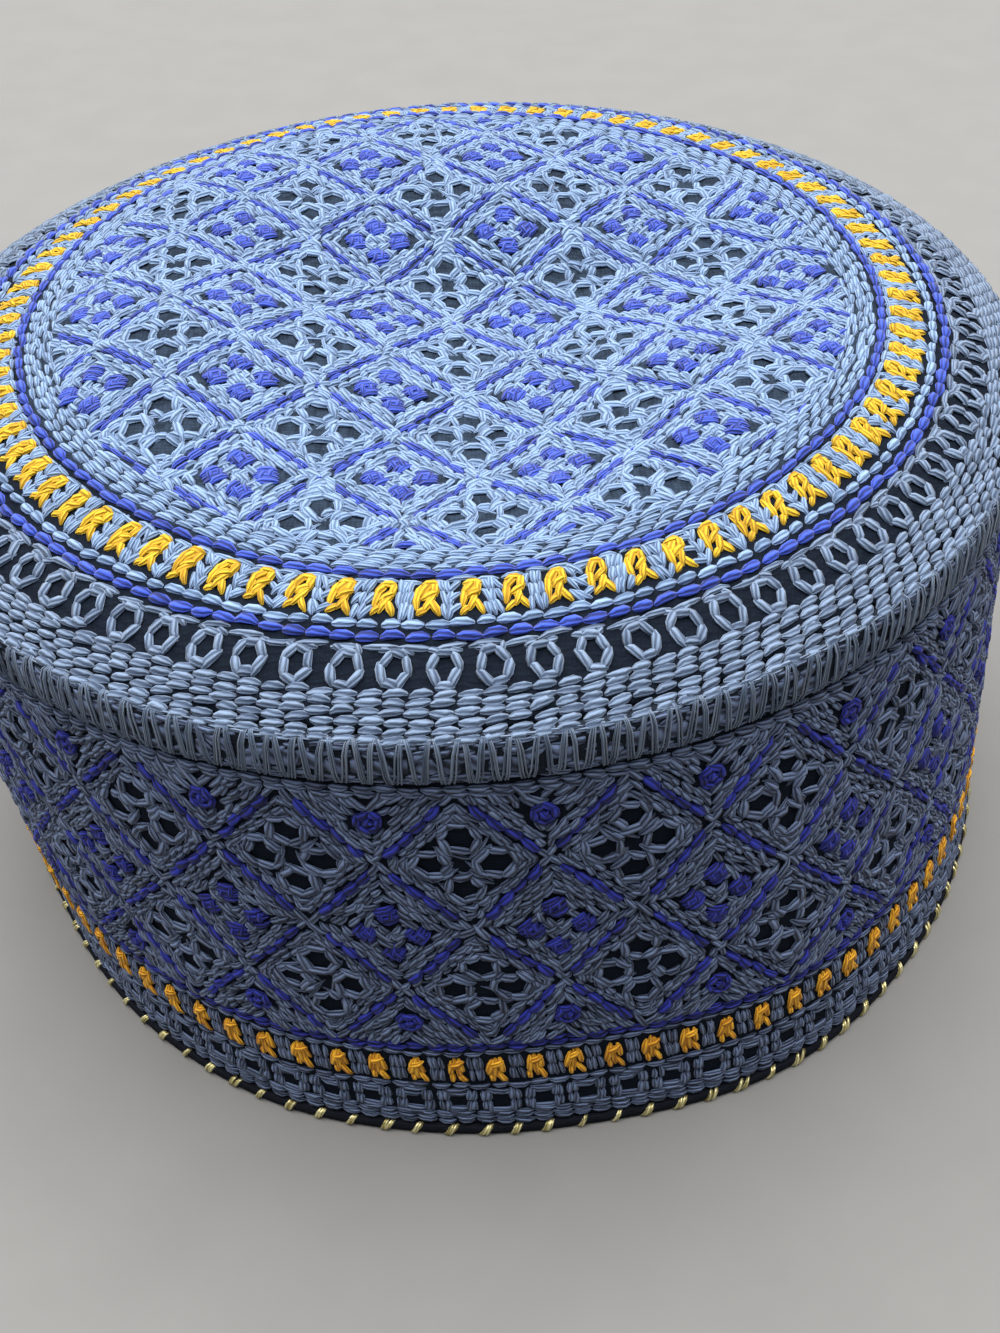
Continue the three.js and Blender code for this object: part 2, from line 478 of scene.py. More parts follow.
def cloth_look(name, dark, light, count=1.6):
    """Plain woven cloth: count is the threads to a millimetre. Its tone paints light into it: it
    is palest where the piece's tone is 1, with painted shade where the tone is lower or missing."""
    look, shader, add, feed = nodes_of(name)
    place = add("ShaderNodeTexCoord").outputs["Object"]
    tone = add("ShaderNodeAttribute", attribute_name="tone").outputs["Fac"]
    waves = []
    for direction in ("X", "Y", "Z"):
        waves.append(add("ShaderNodeTexWave", {"Vector": place, "Scale": count / MM / 3.2,
                                               "Distortion": 6.0, "Detail": 2.0},
                         bands_direction=direction).outputs["Fac"])
    weave = add("ShaderNodeMath", {0: waves[0], 1: waves[1]}, operation="MULTIPLY").outputs[0]
    weave = add("ShaderNodeMath", {0: weave, 1: waves[2]}, operation="ADD").outputs[0]
    nap = add("ShaderNodeTexNoise", {"Vector": place, "Scale": 1100.0, "Detail": 4.0})
    height = add("ShaderNodeMix", {"Factor": 0.65, "A": weave, "B": nap.outputs["Fac"]})
    # Painted light and shade from the piece's tone.
    share = add("ShaderNodeMapRange", {"Value": tone, "To Min": 0.15, "To Max": 1.0})
    shade = add("ShaderNodeMath", {0: height.outputs["Result"], 1: share.outputs["Result"]},
                operation="MULTIPLY")
    colour = add("ShaderNodeMix", {"Factor": shade.outputs[0], "A": (*dark, 1),
                                   "B": (*light, 1)}, data_type="RGBA")
    bump = add("ShaderNodeBump", {"Height": height.outputs["Result"], "Strength": 0.5,
                                  "Distance": 0.3 * MM})
    feed(shader.inputs["Base Color"], colour.outputs["Result"])
    feed(shader.inputs["Normal"], bump.outputs["Normal"])
    feed(shader.inputs["Roughness"], 0.9)
    feed(shader.inputs["Specular IOR Level"], 0.08)
    return look


# One grey thread in three copies with light painted in: the crown's copy as lit, the rim's copy
# with painted shade where the rim slopes away from the light, and the band's copy with deeper
# painted shade. The blue thread likewise: the crown's copy lit, the band's copy with painted
# shade.
GREY = thread_look("grey_thread", (0.07, 0.12, 0.215), (0.255, 0.385, 0.62))
EDGE_GREY_PAINTED_SHADE = thread_look("edge_grey_thread_painted_shade", (0.035, 0.058, 0.11), (0.19, 0.265, 0.395))
BAND_GREY_PAINTED_SHADE = thread_look("band_grey_thread_painted_shade", (0.006, 0.010, 0.027), (0.15, 0.205, 0.35),
                        sheen=0.1)
BLUE = thread_look("blue_thread", (0.004, 0.012, 0.11), (0.042, 0.095, 0.60))
BAND_BLUE_PAINTED_SHADE = thread_look("band_blue_thread", (0.001, 0.002, 0.03), (0.022, 0.034, 0.36),
                        sheen=0.05)
# One orange thread in two copies: the band's copy is painted brighter than the crown's, painted
# light for how the band is lit.
ORANGE = thread_look("orange_thread", (0.38, 0.19, 0.005), (0.74, 0.48, 0.022), sheen=0.05)
BAND_ORANGE_PAINTED_LIGHT = thread_look("band_orange_thread_painted_light", (0.42, 0.14, 0.005), (1.0, 0.52, 0.03),
                          sheen=0.05)
GOLD = thread_look("gold_thread", (0.35, 0.29, 0.10), (0.90, 0.82, 0.45), 0.35, 0.0, 0.6)
GROUND = cloth_look("ground_cloth", (0.003, 0.005, 0.010), (0.030, 0.047, 0.075))
SEAM_CLOTH = cloth_look("seam_cloth", (0.006, 0.009, 0.015), (0.09, 0.115, 0.16))
PIPING_LOOK = cloth_look("piping_cloth", (0.003, 0.004, 0.007), (0.05, 0.055, 0.075), 2.4)


# Ground cloth, seam strip and piping

CROWN_ROUND = 144  # points round each ring of a piece
BAND_ROUND = 216
PIPING_ROUND = 288
EDGE_TUCK = 1 * MM  # how far the crown's edge reaches towards the seam strip
STRIP_THINNER = 0.4 * MM  # room left on the strip for its stitches
CORD_THINNER = 0.1 * MM
GROUND_LIT_TO = FIELD_EDGE + 4 * MM  # the crown's ground cloth is painted lighter up to here, as lit, with painted shade beyond


def bead_skin(radius, middle, thickness, height, square):
    """Skin of a ring round the hat; turn is a distance up it, from -height to height."""
    def skin(arc, turn):
        turn = np.asarray(turn) / height * math.pi
        out = np.sign(np.cos(turn)) * np.abs(np.cos(turn)) ** square
        rise = np.sign(np.sin(turn)) * np.abs(np.sin(turn)) ** square
        return wall_point(arc / HEM_RADIUS, radius + out * thickness / 2,
                          middle + rise * height / 2)
    return skin


seam_skin = bead_skin(SEAM_RADIUS, SEAM_CENTRE, SEAM_THICKNESS, SEAM_HEIGHT, 0.6)
piping_skin = bead_skin(PIPING_RADIUS, PIPING / 2, PIPING, PIPING, 0.8)


def shell_rings(skin, places, lifts, around, plan):
    """Rings of a shell at places across a skin, each at its own lift. Plan is true for the skin
    of the crown, where a ring lies round the middle."""
    angle = TURN * np.arange(around) / around
    rings = []
    for place, lift in zip(places, lifts):
        if plan:
            u, v = place * np.cos(angle), place * np.sin(angle)
        else:
            u, v = angle * HEM_RADIUS, np.full(around, place)
        rings.append(lay(skin, u, v, np.full(around, lift)))
    return np.array(rings)


def make_ground():
    """The two cloth walls under the embroidery, each a closed shell."""
    across = np.linspace(0.004, 1, 40) * (PANEL_RADIUS + EDGE_TUCK)
    places = np.concatenate([across, across[::-1]])
    lifts = np.repeat([-CLOTH, -STITCH_BED], len(across))
    rings = shell_rings(crown_skin, places, lifts, CROWN_ROUND, True)
    # The crown's ground is painted lighter in and just round the field, as lit, and has painted
    # shade beyond it.
    crown = rings_object("crown_ground", rings, poles=True, tone=places < GROUND_LIT_TO)
    dress(crown, GROUND, "crown_panel")
    up = np.linspace(BAND_BOTTOM - TUCK, BAND_TOP + TUCK, 24)
    places = np.concatenate([up, up[::-1]])
    lifts = np.repeat([-STITCH_BED, -CLOTH], len(up))
    rings = shell_rings(band_skin, places, lifts, BAND_ROUND, False)
    # The band's ground has no tone, so it has painted shade all over.
    dress(rings_object("band_ground", rings), GROUND, "side_band")


def make_beads():
    """The strip sewn over the edge of the crown and the piping round the hem."""
    places = np.linspace(-1, 1, 24, endpoint=False) * SEAM_HEIGHT
    rings = shell_rings(seam_skin, places, np.full(24, -STRIP_THINNER), BAND_ROUND, False)
    dress(rings_object("seam_strip", rings), SEAM_CLOTH, "crown_seam")
    places = np.linspace(-1, 1, 12, endpoint=False) * PIPING
    rings = shell_rings(piping_skin, places, np.full(12, -CORD_THINNER), PIPING_ROUND, False)
    dress(rings_object("hem_piping_cord", rings), PIPING_LOOK, "hem_piping")


# Lattice of diamond cells

THREAD = 1.15 * MM
ROW_STEP = 0.95 * MM
FRAME_INSET = 1.2 * MM
FRAME_PITCH = 2.2 * MM
QUARTERS = ((1, 1), (-1, 1), (-1, -1), (1, -1))


def side_of(half_w, half_h, side, inset, low=0.0, high=1.0):
    """Ends of a row of stitches inside one side of a diamond, from share low to share high."""
    reach = 1 - inset * math.hypot(half_w, half_h) / (half_w * half_h)
    corners = [(half_w, 0), (0, half_h), (-half_w, 0), (0, -half_h)]
    start, end = corners[side], corners[(side + 1) % 4]
    return [tuple(reach * (start[k] * (1 - share) + end[k] * share) for k in (0, 1))
            for share in (low, high)]


def frame_rows(grey, half_w, half_h, rows, discs, overlap):
    """Rows inside a cell's sides, one in the other, left out over the discs."""
    for row in rows:
        for side in range(4):
            ends = side_of(half_w, half_h, side, FRAME_INSET + row * ROW_STEP, 0.02, 0.98)
            grey.line(*ends, FRAME_PITCH, THREAD, clear_of=discs, overlap=overlap)


def eyelet_cell(grey, half_w, half_h, out_w, out_h, ring, thread):
    """Four small rings in a frame, with holes in them and between them."""
    slope = math.atan2(out_h, out_w)
    rings = [(out_w, 0), (-out_w, 0), (0, out_h), (0, -out_h)]
    discs = [(a, b, ring + 0.3 * MM) for a, b in rings]
    share = 0.58 * half_w * half_h / math.hypot(half_w, half_h)
    for right, rise in QUARTERS:
        a, b = right * math.sin(slope), rise * math.cos(slope)
        discs.append((a * share, b * share, 0.9 * MM))
        grey.stitch(a * ring * 1.4, b * ring * 1.4, math.atan2(b, a), ring * 1.4, thread)
    frame_rows(grey, half_w, half_h, [0], (), 1.35)
    frame_rows(grey, half_w, half_h, [1], discs, 1.35)
    for a, b in rings:
        start = draw.random() * TURN
        grey.ring(a, b, ring, 6, thread, start=start, lift=0.1 * MM)
        grey.ring(a, b, ring + 0.35 * MM, 5, 0.7 * MM, start=start + 0.4)
        for out in (1.78, 2.1):
            grey.stitch(a * out, b * out, math.atan2(a, -b) + 0.3 * draw.normal(), 2.2 * MM,
                        THREAD)


def filled_cell(grey, half_w, half_h, knots, gap, rows):
    """A cell filled with rows, with a gap round each of its knots."""
    discs = [(a, b, gap) for a, b in knots]
    frame_rows(grey, half_w, half_h, range(rows), discs, 1.4)


def block_cell(grey, blue, half_w, half_h, out_w, out_h, knot_size, drop=0.0):
    """Four blue knots in a filled frame, with pale arms between them."""
    knots = [(out_w, -drop), (-out_w, -drop), (0, out_h - drop), (0, -out_h - drop)]
    filled_cell(grey, half_w, half_h, knots, knot_size / 2 + 0.5 * MM, 7)
    for right, rise in QUARTERS:
        for share in (0.18, 0.62):
            a, b = right * out_w * share, rise * out_h * share
            grey.stitch(a, b - drop, math.atan2(b, a), 2.2 * MM, THREAD, lift=0.05 * MM)
    for a, b in knots:
        satin_knot(blue, a, b, knot_size)


def bars(blue, grey, half_w, half_h, rows, width):
    """Blue rows along the middle of each side of a cell, with grey ends."""
    for side in range(4):
        low, high = ((0.12, 0.83), (0.17, 0.88))[side % 2]
        for inset in rows:
            blue.line(*side_of(half_w, half_h, side, inset, low, high), 2.9 * MM, width,
                      overlap=1.2, lift=0.05 * MM)
        for ends in ((0.0, low), (high, 1.0)):
            for inset in rows:
                grey.line(*side_of(half_w, half_h, side, inset, *ends), 2.4 * MM, THREAD,
                          overlap=1.3)


def satin_knot(blue, a, b, size):
    """A plump knot of slanted strands with two across it."""
    slant = 0.45 + 0.3 * draw.normal()
    step = size / 4.6
    for k in range(4):
        across = (k - 1.5) * step
        length = size * math.sqrt(1 - (across / (0.62 * size)) ** 2) + 0.2 * MM
        blue.stitch(a - across * math.sin(slant), b + across * math.cos(slant), slant,
                    length, step * 1.5, lift=0.25 * MM)
    for across in (-0.2 * size, 0.17 * size):
        blue.stitch(a + across, b + across * 0.3, slant + 1.2, 0.62 * size, step * 1.2,
                    lift=0.5 * MM)


def rose_knot(blue, a, b, size):
    """A round knot: a swirl of strands with two across its middle."""
    start = draw.random() * TURN
    blue.ring(a, b, size * 0.33, 6, size * 0.3, start=start, lift=0.15 * MM)
    for turn in (0.2, 1.9):
        blue.stitch(a, b, start + turn, size * 0.5, size * 0.26, lift=0.35 * MM)


def orange_block(orange, strands):
    """An orange block of strands over each other."""
    for a, b, turn, length, width, lift in strands:
        orange.stitch(a * MM, b * MM, turn, length * MM, width * MM, lift=lift * MM)


# Crown

LATTICE_WIDE = 21.84 * MM
LATTICE_DEEP = 21.53 * MM
LATTICE_TURN = math.radians(4.5)
LATTICE_RIGHT = 1.43 * MM
LATTICE_BACK = -11.06 * MM
LATTICE_REACH = 8  # cells to each side of the middle one


def in_field(u, v):
    """Whether a place of the crown is in its field."""
    return math.hypot(u, v) < FIELD_EDGE


def crown_lattice(grey, blue):
    """Eyelet cells and block cells by turns, cut off by the rings round them."""
    cos, sin = math.cos(LATTICE_TURN), math.sin(LATTICE_TURN)
    half_w, half_h = LATTICE_WIDE / 2, LATTICE_DEEP / 2
    reach = range(-LATTICE_REACH, LATTICE_REACH + 1)
    for column in reach:
        for row in reach:
            if (column + row) % 2:
                continue
            along, across = column * half_w, row * half_h
            u = LATTICE_RIGHT + along * cos - across * sin
            v = LATTICE_BACK + along * sin + across * cos
            if math.hypot(u, v) > FIELD_EDGE + half_w:
                continue
            grey.at(u, v, LATTICE_TURN)
            blue.at(u, v, LATTICE_TURN)
            if column % 2:
                block_cell(grey, blue, half_w, half_h, 3.5 * MM, 3.4 * MM, 3.6 * MM)
            else:
                eyelet_cell(grey, half_w, half_h, 4.15 * MM, 4.45 * MM, 2.1 * MM, 1.25 * MM)
                bars(blue, grey, half_w, half_h, (-0.42 * MM, 0.42 * MM), 0.85 * MM)
                for b in (half_h, -half_h):
                    blue.stitch(0, b, 0.3, 2.0 * MM, 0.9 * MM)


def crown_row(stitches, radius, pitch, width, slant=0.0, start=0.0, **more):
    """A row of stitches round the crown."""
    count = round(TURN * radius / pitch)
    for k in range(count):
        angle = TURN * (k + start) / count
        stitches.at(radius * math.cos(angle), radius * math.sin(angle), angle + math.pi / 2)
        stitches.stitch(0, 0, slant, TURN * radius / count * 1.05, width, **more)


CROWN_BLOCKS = 81
CROWN_EYELETS = 82
CROWN_FIRST = math.radians(-92.3)
CROWN_BLOCK_RADIUS = 71.4 * MM
CROWN_EYELET_RADIUS = 81.4 * MM
FIELD_ROWS = (62.3, 63.2, 64.1, 65.0, 65.9)  # radii in millimetres
EDGE_ROWS = (84.4, 85.4, 86.5, 87.6, 88.65, 89.6)
BLOCK_BORDERS = (68.45 * MM, 75.3 * MM)
EYELET_BORDER = 78.5 * MM
BLUE_RINGS = (67.3 * MM, 77.1 * MM)

# Strands of an orange block, in millimetres: right, inwards, turn, length, width and lift.
CROWN_BLOCK = [
    (-1.0, 0.3, 1.45, 4.2, 1.15, 0.0),
    (-0.3, 1.5, 1.0, 3.0, 1.2, 0.1),
    (0.35, 2.3, 0.1, 2.5, 1.15, 0.15),
    (1.05, 1.4, 1.5, 2.5, 1.2, 0.1),
    (0.35, 0.3, 0.6, 2.4, 1.1, 0.25),
    (0.25, -0.9, 1.15, 3.0, 1.1, 0.2),
    (-0.7, -1.9, 0.75, 2.0, 1.0, 0.0),
    (0.9, -1.5, -1.05, 2.9, 1.1, 0.15),
]


def crown_blocks(grey, orange):
    """Orange blocks round the field with grey grains between them."""
    radius = CROWN_BLOCK_RADIUS
    for k in range(CROWN_BLOCKS * 2):
        angle = CROWN_FIRST + TURN * k / (CROWN_BLOCKS * 2)
        place = (radius * math.cos(angle), radius * math.sin(angle), angle + math.pi / 2)
        if k % 2:
            grey.at(*place)
            for a, slant in ((-0.7, 0.35), (0.05, -0.1), (0.75, -0.35)):
                grey.line((a * MM, -2.9 * MM), (a * MM, 2.9 * MM), 1.9 * MM, 0.95 * MM,
                          slant + 0.35 * draw.normal(), overlap=1.4)
            continue
        orange.at(*place)
        orange_block(orange, CROWN_BLOCK)


def crown_eyelets(grey):
    """Six-sided eyelets in a row round the crown."""
    radius = CROWN_EYELET_RADIUS
    for k in range(CROWN_EYELETS):
        angle = CROWN_FIRST + TURN * (k + 0.4) / CROWN_EYELETS
        grey.at(radius * math.cos(angle), radius * math.sin(angle), angle + math.pi / 2)
        start = math.pi / 6 + 0.15 * draw.normal()
        grey.ring(0, 0, (1.65 * MM, 2.0 * MM), 6, 1.35 * MM, start=start, lift=0.15 * MM)
        for a in (-1.3, 1.2):
            grey.stitch(a * MM, 2.5 * MM, 0.6 * draw.normal(), 1.9 * MM, 0.95 * MM)


def make_crown_field():
    """The lattice of the crown and all its blue thread, with the two blue rings."""
    lattice = Stitches(crown_skin, in_field, mess=2.6)
    blue_lattice = Stitches(crown_skin, in_field)
    crown_lattice(lattice, blue_lattice)
    lattice.build("crown_lattice_thread", GREY, "crown_panel")
    blue = Stitches(crown_skin)
    crown_row(blue, BLUE_RINGS[0], 3.4 * MM, 1.4 * MM, 0.08, lift=0.1 * MM)
    crown_row(blue, BLUE_RINGS[1], 3.2 * MM, 1.5 * MM, 0.08, lift=0.15 * MM)
    blue.rows += blue_lattice.rows
    blue.build("crown_blue_thread", BLUE, "crown_panel")


def make_crown_rings():
    """The rows round the field, with the orange blocks."""
    inner = Stitches(crown_skin, mess=1.6)
    orange = Stitches(crown_skin)
    for k, radius in enumerate(FIELD_ROWS):
        crown_row(inner, radius * MM, 3.3 * MM, 1.05 * MM, 0.06, k * 0.37)
    crown_row(inner, BLOCK_BORDERS[0], 3.2 * MM, 0.85 * MM)
    crown_blocks(inner, orange)
    crown_row(inner, BLOCK_BORDERS[1], 3.0 * MM, 1.4 * MM, 0.08)
    inner.build("crown_ring_thread", GREY, "crown_panel")
    orange.build("crown_orange_blocks", ORANGE, "crown_panel")


def make_crown_edge():
    """The rim eyelets and the close rows outside them."""
    outer = Stitches(crown_skin)
    crown_row(outer, EYELET_BORDER, 4.4 * MM, 1.0 * MM, 0.06)
    crown_eyelets(outer)
    for k, radius in enumerate(EDGE_ROWS):
        crown_row(outer, radius * MM, 3.1 * MM, 1.25 * MM, 0.13, k * 0.42, lift=0.1 * MM)
    # The rim's threads take the grey copy with painted shade, as the rim slopes away from the
    # light.
    outer.build("crown_edge_thread", EDGE_GREY_PAINTED_SHADE, "crown_panel")


# Band

BAND_COLUMNS = 25
FIRST_COLUMN = math.radians(-90.4)
EYELET_ROWS = (35.2 * MM, 61.2 * MM)
BLOCK_ROW = sum(EYELET_ROWS) / 2
BAND_HALF_HIGH = BLOCK_ROW - EYELET_ROWS[0]
BAND_HALF_WIDE = math.pi * HEM_RADIUS / BAND_COLUMNS
BAND_FIELD = (22.9 * MM, 73.6 * MM)
TOP_KNOTS = 69.4 * MM
LOW_KNOTS = 27.5 * MM
ROSE = 4.3 * MM
HEM_BLOCKS = 97
HEM_EYELETS = 87
HEM_PITCH = 3.0 * MM
HEM_BLOCK_HEIGHT = 16.1 * MM
HEM_EYELET_HEIGHT = 8.2 * MM

# Strands of an orange block, in millimetres: right, upwards, turn, length, width and lift.
HEM_BLOCK = [
    (-0.95, 0.5, 1.4, 4.0, 1.15, 0.15),
    (-0.1, 0.2, 1.62, 5.4, 1.15, 0.15),
    (0.8, 1.0, 1.75, 3.6, 1.15, 0.15),
    (0.1, 1.6, 0.5, 2.5, 1.1, 0.35),
    (0.75, -1.5, -1.15, 3.2, 1.0, 0.3),
    (-0.75, -1.8, -1.5, 2.3, 0.95, 0.2),
]


def in_band(u, v):
    """Whether a place of the band is in its lattice."""
    return BAND_FIELD[0] < v < BAND_FIELD[1]


def bud_cell(grey, blue, centre, knot_height):
    """Half a cell at the edge of the lattice, with one round knot."""
    knot = (0, knot_height - centre)
    filled_cell(grey, BAND_HALF_WIDE, BAND_HALF_HIGH, [knot], ROSE / 2 + 0.3 * MM, 8)
    rose_knot(blue, *knot, ROSE)


def band_lattice(grey, blue, columns):
    """Columns of eyelet cells, with a block cell and two buds to the right of each."""
    for column in columns:
        arc = (FIRST_COLUMN + TURN * column / BAND_COLUMNS) * HEM_RADIUS
        for height in EYELET_ROWS:
            grey.at(arc, height, 0)
            blue.at(arc, height, 0)
            eyelet_cell(grey, BAND_HALF_WIDE, BAND_HALF_HIGH, 4.25 * MM, 4.85 * MM, 2.25 * MM,
                        1.35 * MM)
            bars(blue, grey, BAND_HALF_WIDE, BAND_HALF_HIGH, (-0.1 * MM,), 1.55 * MM)
        arc += BAND_HALF_WIDE
        grey.at(arc, BLOCK_ROW, 0)
        blue.at(arc, BLOCK_ROW, 0)
        block_cell(grey, blue, BAND_HALF_WIDE, BAND_HALF_HIGH, 3.6 * MM, 4.0 * MM, 3.6 * MM,
                   1.1 * MM)
        for centre, knot in ((BLOCK_ROW + 2 * BAND_HALF_HIGH, TOP_KNOTS),
                             (BLOCK_ROW - 2 * BAND_HALF_HIGH, LOW_KNOTS)):
            grey.at(arc, centre, 0)
            blue.at(arc, centre, 0)
            bud_cell(grey, blue, centre, knot)


def hem_row(stitches, up, pitch, width, slant=0.0, start=0.0, **more):
    """A row of stitches round the band."""
    count = round(TURN * HEM_RADIUS / pitch)
    for k in range(count):
        stitches.at(TURN * HEM_RADIUS * (k + start) / count, up, 0)
        stitches.stitch(0, 0, slant, TURN * HEM_RADIUS / count * 1.05, width, **more)


def hem_blocks(grey, orange):
    """Orange blocks above the hem with upright grey strands between them."""
    height = HEM_BLOCK_HEIGHT
    for k in range(HEM_BLOCKS * 2):
        arc = (FIRST_COLUMN + TURN * k / (HEM_BLOCKS * 2)) * HEM_RADIUS
        if k % 2:
            grey.at(arc, height, 0)
            for a in (-0.75, 0.0, 0.75):
                grey.line((a * MM, -2.9 * MM), (a * MM, 2.9 * MM), 2.9 * MM, 0.95 * MM, 0.1)
            continue
        orange.at(arc, height, 0)
        orange_block(orange, HEM_BLOCK)


def hem_eyelets(grey):
    """Squarish loops side by side just above the hem, with dark gaps between them."""
    for k in range(HEM_EYELETS):
        grey.at((FIRST_COLUMN + TURN * k / HEM_EYELETS) * HEM_RADIUS, HEM_EYELET_HEIGHT, 0)
        for a, reach in ((-2.55, 2.4), (-1.75, 2.8), (1.75, 2.8), (2.55, 2.4)):
            grey.line((a * MM, -reach * MM), (a * MM, reach * MM), 2.7 * MM, 1.1 * MM)
        for b in (2.75, 1.95, -1.95, -2.75):
            grey.stitch(0.2 * MM * draw.normal(), b * MM, 0, 4.2 * MM, 1.1 * MM)


def make_band_lattice():
    """The lattice of the band, as a front half and a back half."""
    for name, columns in (("front", range(-6, 7)), ("back", range(7, 20))):
        grey = Stitches(band_skin, in_band, mess=2.6)
        blue = Stitches(band_skin, in_band)
        band_lattice(grey, blue, columns)
        # The band's threads take the grey and blue copies with painted shade.
        grey.build(f"band_lattice_thread_{name}", BAND_GREY_PAINTED_SHADE, "side_band")
        blue.build(f"band_blue_thread_{name}", BAND_BLUE_PAINTED_SHADE, "side_band")


def make_band_border():
    """The rows over and under the lattice, with the orange blocks and the hem eyelets. Each row
    starts at a share of a stitch that comes from its height, so that no two line up."""
    border = Stitches(band_skin)
    orange = Stitches(band_skin)
    chain = Stitches(band_skin)
    for height in (21.3, 22.2):
        hem_row(chain, height * MM, HEM_PITCH, 1.05 * MM, 0.1, height)
    # The chain takes the band's blue copy with painted shade.
    chain.build("hem_blue_thread", BAND_BLUE_PAINTED_SHADE, "side_band")
    hem_row(border, 20.0 * MM, HEM_PITCH, 0.95 * MM)
    hem_blocks(border, orange)
    hem_row(border, 12.1 * MM, HEM_PITCH, 1.1 * MM, 0.08, 12.1)
    hem_eyelets(border)
    for height in (5.1, 4.1, 3.1):
        hem_row(border, height * MM, HEM_PITCH, 1.15 * MM, 0.0, height)
    for height in (75.2, 74.3):
        hem_row(border, height * MM, HEM_PITCH, 1.25 * MM, 0.0, height)
    # The band's grey copy with painted shade, and the orange copy with painted light.
    border.build("band_border_thread", BAND_GREY_PAINTED_SHADE, "side_band")
    orange.build("band_orange_blocks", BAND_ORANGE_PAINTED_LIGHT, "side_band")


# Seam and hem threads

SEAM_TURNS = 169
WRAPS = 112
STRAND_SIDES = 5
SEAM_ROWS = 8
LIT_SEAM_ROWS = 2
TOP_SEAM_ROW = 3.3 * MM
SEAM_ROW_STEP = 0.85 * MM

# Where each strand of a zigzag tooth starts and ends along the seam, in millimetres.
TOOTH = ((-2.0, -0.4), (-1.5, -0.2), (-1.1, 0.0), (1.1, 0.1), (1.5, 0.25), (1.95, 0.45))

# Steps of a strand round the seam strip and the piping, in degrees.
TOOTH_STEPS = (-84, -50, -16, 16, 50, 86)
WRAP_STEPS = (-95, -60, -30, 0, 30, 60, 80)


def bead_strands(name, skin, starts, slants, turns, width, look, node):
    """Strands laid up a bead, from arcs in starts, leaning by the distances in slants."""
    share = np.linspace(0, 1, len(turns))
    u = starts[:, None] + slants[:, None] * share
    v = np.broadcast_to(turns, u.shape)
    low = lay(skin, u.ravel(), v.ravel(), np.zeros(u.size)).reshape(*u.shape, 3)
    high = lay(skin, u.ravel(), v.ravel(), np.full(u.size, 1 * MM)).reshape(*u.shape, 3)
    normals = (high - low) / MM
    lift = (0.1 + 0.25 * np.sin(math.pi * share)) * MM - STRIP_THINNER
    taper = width / 2 * (0.75 + 0.25 * np.sin(math.pi * share))
    paths = low + normals * lift[:, None]
    dress(strands_object(name, paths, normals, taper, STRAND_SIDES), look, node)


def make_seam_rows():
    """Rows of small stitches on the strip, which the zigzag crosses."""
    low = Stitches(seam_skin, mess=2.0)
    high = Stitches(seam_skin)
    for k in range(SEAM_ROWS):
        # The top rows take the rim's grey copy, painted lighter where the light falls on the
        # strip; the lower rows take the band's copy with painted shade.
        rows = high if k < LIT_SEAM_ROWS else low
        hem_row(rows, TOP_SEAM_ROW - SEAM_ROW_STEP * k, 2.9 * MM, 1.15 * MM, 0.05, k * 0.41,
                height=0.5 * MM)
    high.build("seam_upper_rows", EDGE_GREY_PAINTED_SHADE, "crown_seam")
    low.build("seam_lower_rows", BAND_GREY_PAINTED_SHADE, "crown_seam")


def make_zigzag():
    """The zigzag sewn over the seam strip."""
    pitch = TURN * HEM_RADIUS / SEAM_TURNS
    starts, slants = [], []
    for k in range(SEAM_TURNS):
        lean = 0.25 * draw.normal()
        for foot, top in TOOTH:
            foot += 0.15 * draw.normal()
            starts.append(pitch * k + foot * MM)
            slants.append((top + lean - foot) * MM)
    turns = np.radians(TOOTH_STEPS) / math.pi * SEAM_HEIGHT
    # The zigzag takes the rim's grey copy with painted shade.
    bead_strands("seam_zigzag_thread", seam_skin, np.array(starts), np.array(slants), turns,
                 0.3 * MM, EDGE_GREY_PAINTED_SHADE, "crown_seam")


def make_wraps():
    """Pairs of gold threads wound slantwise round the piping."""
    pitch = TURN * HEM_RADIUS / WRAPS
    starts, slants = [], []
    for k in range(WRAPS):
        for offset in (0, 0.45):
            starts.append(pitch * k + offset * MM + draw.normal() * 0.2 * MM)
            slants.append(1.8 * MM + draw.normal() * 0.3 * MM)
    turns = np.radians(WRAP_STEPS) / math.pi * PIPING
    bead_strands("gold_wraps", piping_skin, np.array(starts), np.array(slants), turns,
                 0.8 * MM, GOLD, "hem_piping")


# Camera, floor and lights

LENS_IN_PIXELS = 1600
PHOTO_TALL = 1333
CAMERA_FAR = 306 * MM
CAMERA_RISE = math.radians(41.7)
CAMERA_ROLL = math.radians(-2.0)
LOOK_RIGHT = 6.08 * MM
LOOK_UP = 13.4 * MM
FLOOR_HALF = 2.5


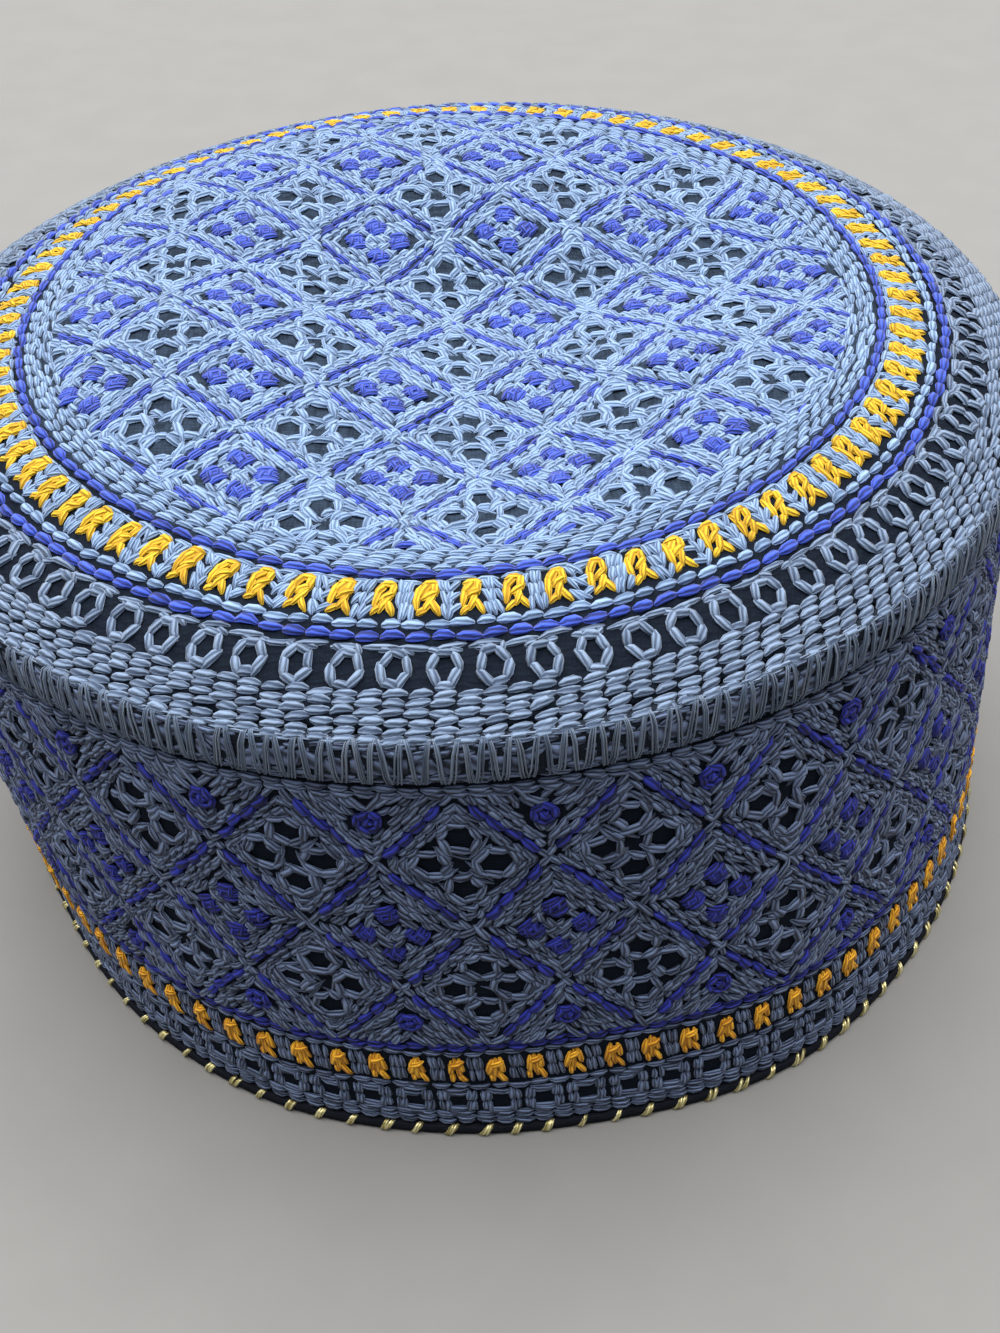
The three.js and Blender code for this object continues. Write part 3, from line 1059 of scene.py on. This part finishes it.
def make_camera():
    """The camera that the photograph was taken with, from above and in front."""
    ahead = Vector((0, math.cos(CAMERA_RISE), -math.sin(CAMERA_RISE)))
    upward = Vector((0, math.sin(CAMERA_RISE), math.cos(CAMERA_RISE)))
    right = Vector((1, 0, 0))
    cos, sin = math.cos(CAMERA_ROLL), math.sin(CAMERA_ROLL)
    across, rise = cos * right + sin * upward, cos * upward - sin * right
    place = Vector((CROWN_X + LOOK_RIGHT, CROWN_Y, LOOK_UP)) - CAMERA_FAR * ahead
    data = bpy.data.cameras.new("camera")
    data.lens = LENS_IN_PIXELS / PHOTO_TALL * data.sensor_width
    data.clip_start = 0.01
    camera = bpy.data.objects.new("camera", data)
    bpy.context.scene.collection.objects.link(camera)
    turn = Matrix((across, rise, -ahead)).transposed().to_4x4()
    camera.matrix_world = Matrix.Translation(place) @ turn
    bpy.context.scene.camera = camera


def make_floor():
    """A plain pale floor, a little mottled."""
    look, shader, add, feed = nodes_of("pale_floor")
    place = add("ShaderNodeTexCoord").outputs["Object"]
    mottle = add("ShaderNodeTexNoise", {"Vector": place, "Scale": 60.0, "Detail": 4.0})
    colour = add("ShaderNodeMix", {"Factor": mottle.outputs["Fac"], "A": (0.185, 0.182, 0.176, 1),
                                   "B": (0.21, 0.207, 0.20, 1)}, data_type="RGBA")
    feed(shader.inputs["Base Color"], colour.outputs["Result"])
    feed(shader.inputs["Roughness"], 0.9)
    corners = [(right * FLOOR_HALF, back * FLOOR_HALF, 0)
               for right, back in ((-1, -1), (1, -1), (1, 1), (-1, 1))]
    floor = mesh_object("floor", corners, [0, 1, 2, 3], [4])
    floor.data.materials.append(look)


def sun(name, toward, softness, strength, colour):
    """Light from far away, coming from a direction, with soft shadows."""
    data = bpy.data.lights.new(name, "SUN")
    data.angle = math.radians(softness)
    data.energy = strength
    data.color = colour
    light = bpy.data.objects.new(name, data)
    bpy.context.scene.collection.objects.link(light)
    light.rotation_euler = Vector(toward).to_track_quat("Z", "Y").to_euler()


def make_lights():
    """A wide soft light from above and a faint room light."""
    sun("sky", (-0.06, 0.22, 1.0), 85, 8.0, (1.0, 0.995, 0.985))
    world = bpy.data.worlds.new("room")
    bpy.context.scene.world = world
    world.use_nodes = True
    shade = world.node_tree.nodes["Background"].inputs
    shade["Color"].default_value = (0.90, 0.94, 1.0, 1)
    shade["Strength"].default_value = 0.12


make_camera()
make_floor()
make_lights()
make_ground()
make_beads()
make_crown_field()
make_crown_rings()
make_crown_edge()
make_band_lattice()
make_band_border()
make_seam_rows()
make_zigzag()
make_wraps()

bpy.context.scene.view_settings.view_transform = "Standard"
